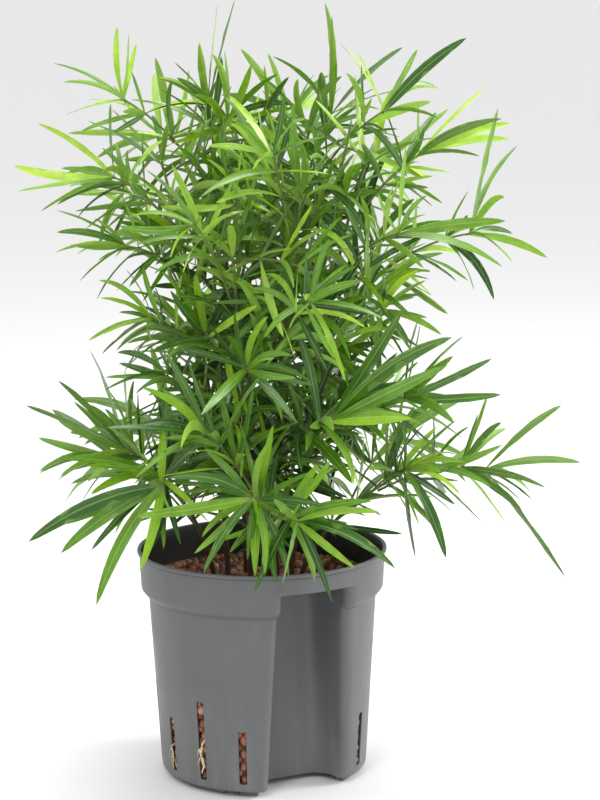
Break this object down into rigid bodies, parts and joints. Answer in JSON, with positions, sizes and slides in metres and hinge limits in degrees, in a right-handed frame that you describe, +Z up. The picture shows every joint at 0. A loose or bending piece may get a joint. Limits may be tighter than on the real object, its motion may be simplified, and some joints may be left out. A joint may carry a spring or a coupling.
{
  "type": "potted asparagus fern",
  "caption": "Bushy sickle-leaved asparagus fern in a grey slotted hydroculture grow pot filled with clay pebbles, with a recess for a water gauge.",
  "frame": {"origin": "on the floor under the middle of the pot, at the middle of its centre foot", "axes": "+Z up; the pot's gauge channel faces -Y; +X is to its right seen from the channel's side"},
  "size_m": [0.4679, 0.446, 0.6785],
  "materials": {
    "pot_plastic": "mid grey injection-moulded polypropylene, satin, faintly speckled, with dusty scuffs near the base",
    "fired_clay": "damp fired clay pebbles, reddish brown, slightly glossy",
    "root_mat": "dark brown fibrous roots and old bark",
    "leaf_green": "satin waxy leaf, bright yellow-green to deep green, paler underneath",
    "dry_leaf": "withered, straw yellow to brown, matt",
    "root_skin": "fresh cream roots, matt"
  },
  "bodies": {
    "root": {"grow_pot": "pot_plastic", "clay_pebbles": "fired_clay", "root_ball": "root_mat", "cane_01": "leaf_green", "cane_02": "leaf_green", "cane_03": "leaf_green", "cane_04": "leaf_green", "cane_05": "leaf_green", "cane_06": "leaf_green", "cane_07": "leaf_green", "cane_08": "leaf_green", "cane_09": "leaf_green", "cane_10": "leaf_green", "cane_11": "leaf_green", "cane_12": "leaf_green", "cane_13": "leaf_green", "shoot_01": "leaf_green", "shoot_02": "leaf_green", "shoot_03": "leaf_green", "shoot_04": "leaf_green", "shoot_05": "leaf_green", "shoot_06": "leaf_green", "shoot_07": "leaf_green", "shoot_08": "leaf_green", "shoot_09": "leaf_green", "shoot_10": "leaf_green", "shoot_11": "leaf_green", "shoot_12": "leaf_green", "shoot_13": "leaf_green", "shoot_14": "leaf_green", "shoot_15": "leaf_green", "shoot_16": "leaf_green", "shoot_17": "leaf_green", "shoot_18": "leaf_green", "shoot_19": "leaf_green", "shoot_20": "leaf_green", "shoot_21": "leaf_green", "shoot_22": "leaf_green", "shoot_23": "leaf_green", "shoot_24": "leaf_green", "shoot_25": "leaf_green", "shoot_26": "leaf_green", "shoot_27": "leaf_green", "shoot_28": "leaf_green", "shoot_29": "leaf_green", "shoot_30": "leaf_green", "shoot_31": "leaf_green", "shoot_32": "leaf_green", "shoot_33": "leaf_green", "shoot_34": "leaf_green", "shoot_35": "leaf_green", "shoot_36": "leaf_green", "shoot_37": "leaf_green", "dry_leaf_1": "dry_leaf", "dry_leaf_2": "dry_leaf", "dry_leaf_3": "dry_leaf", "root_strand_1": "root_skin", "root_strand_2": "root_skin", "root_strand_3": "root_skin"}
  },
  "joints": []
}
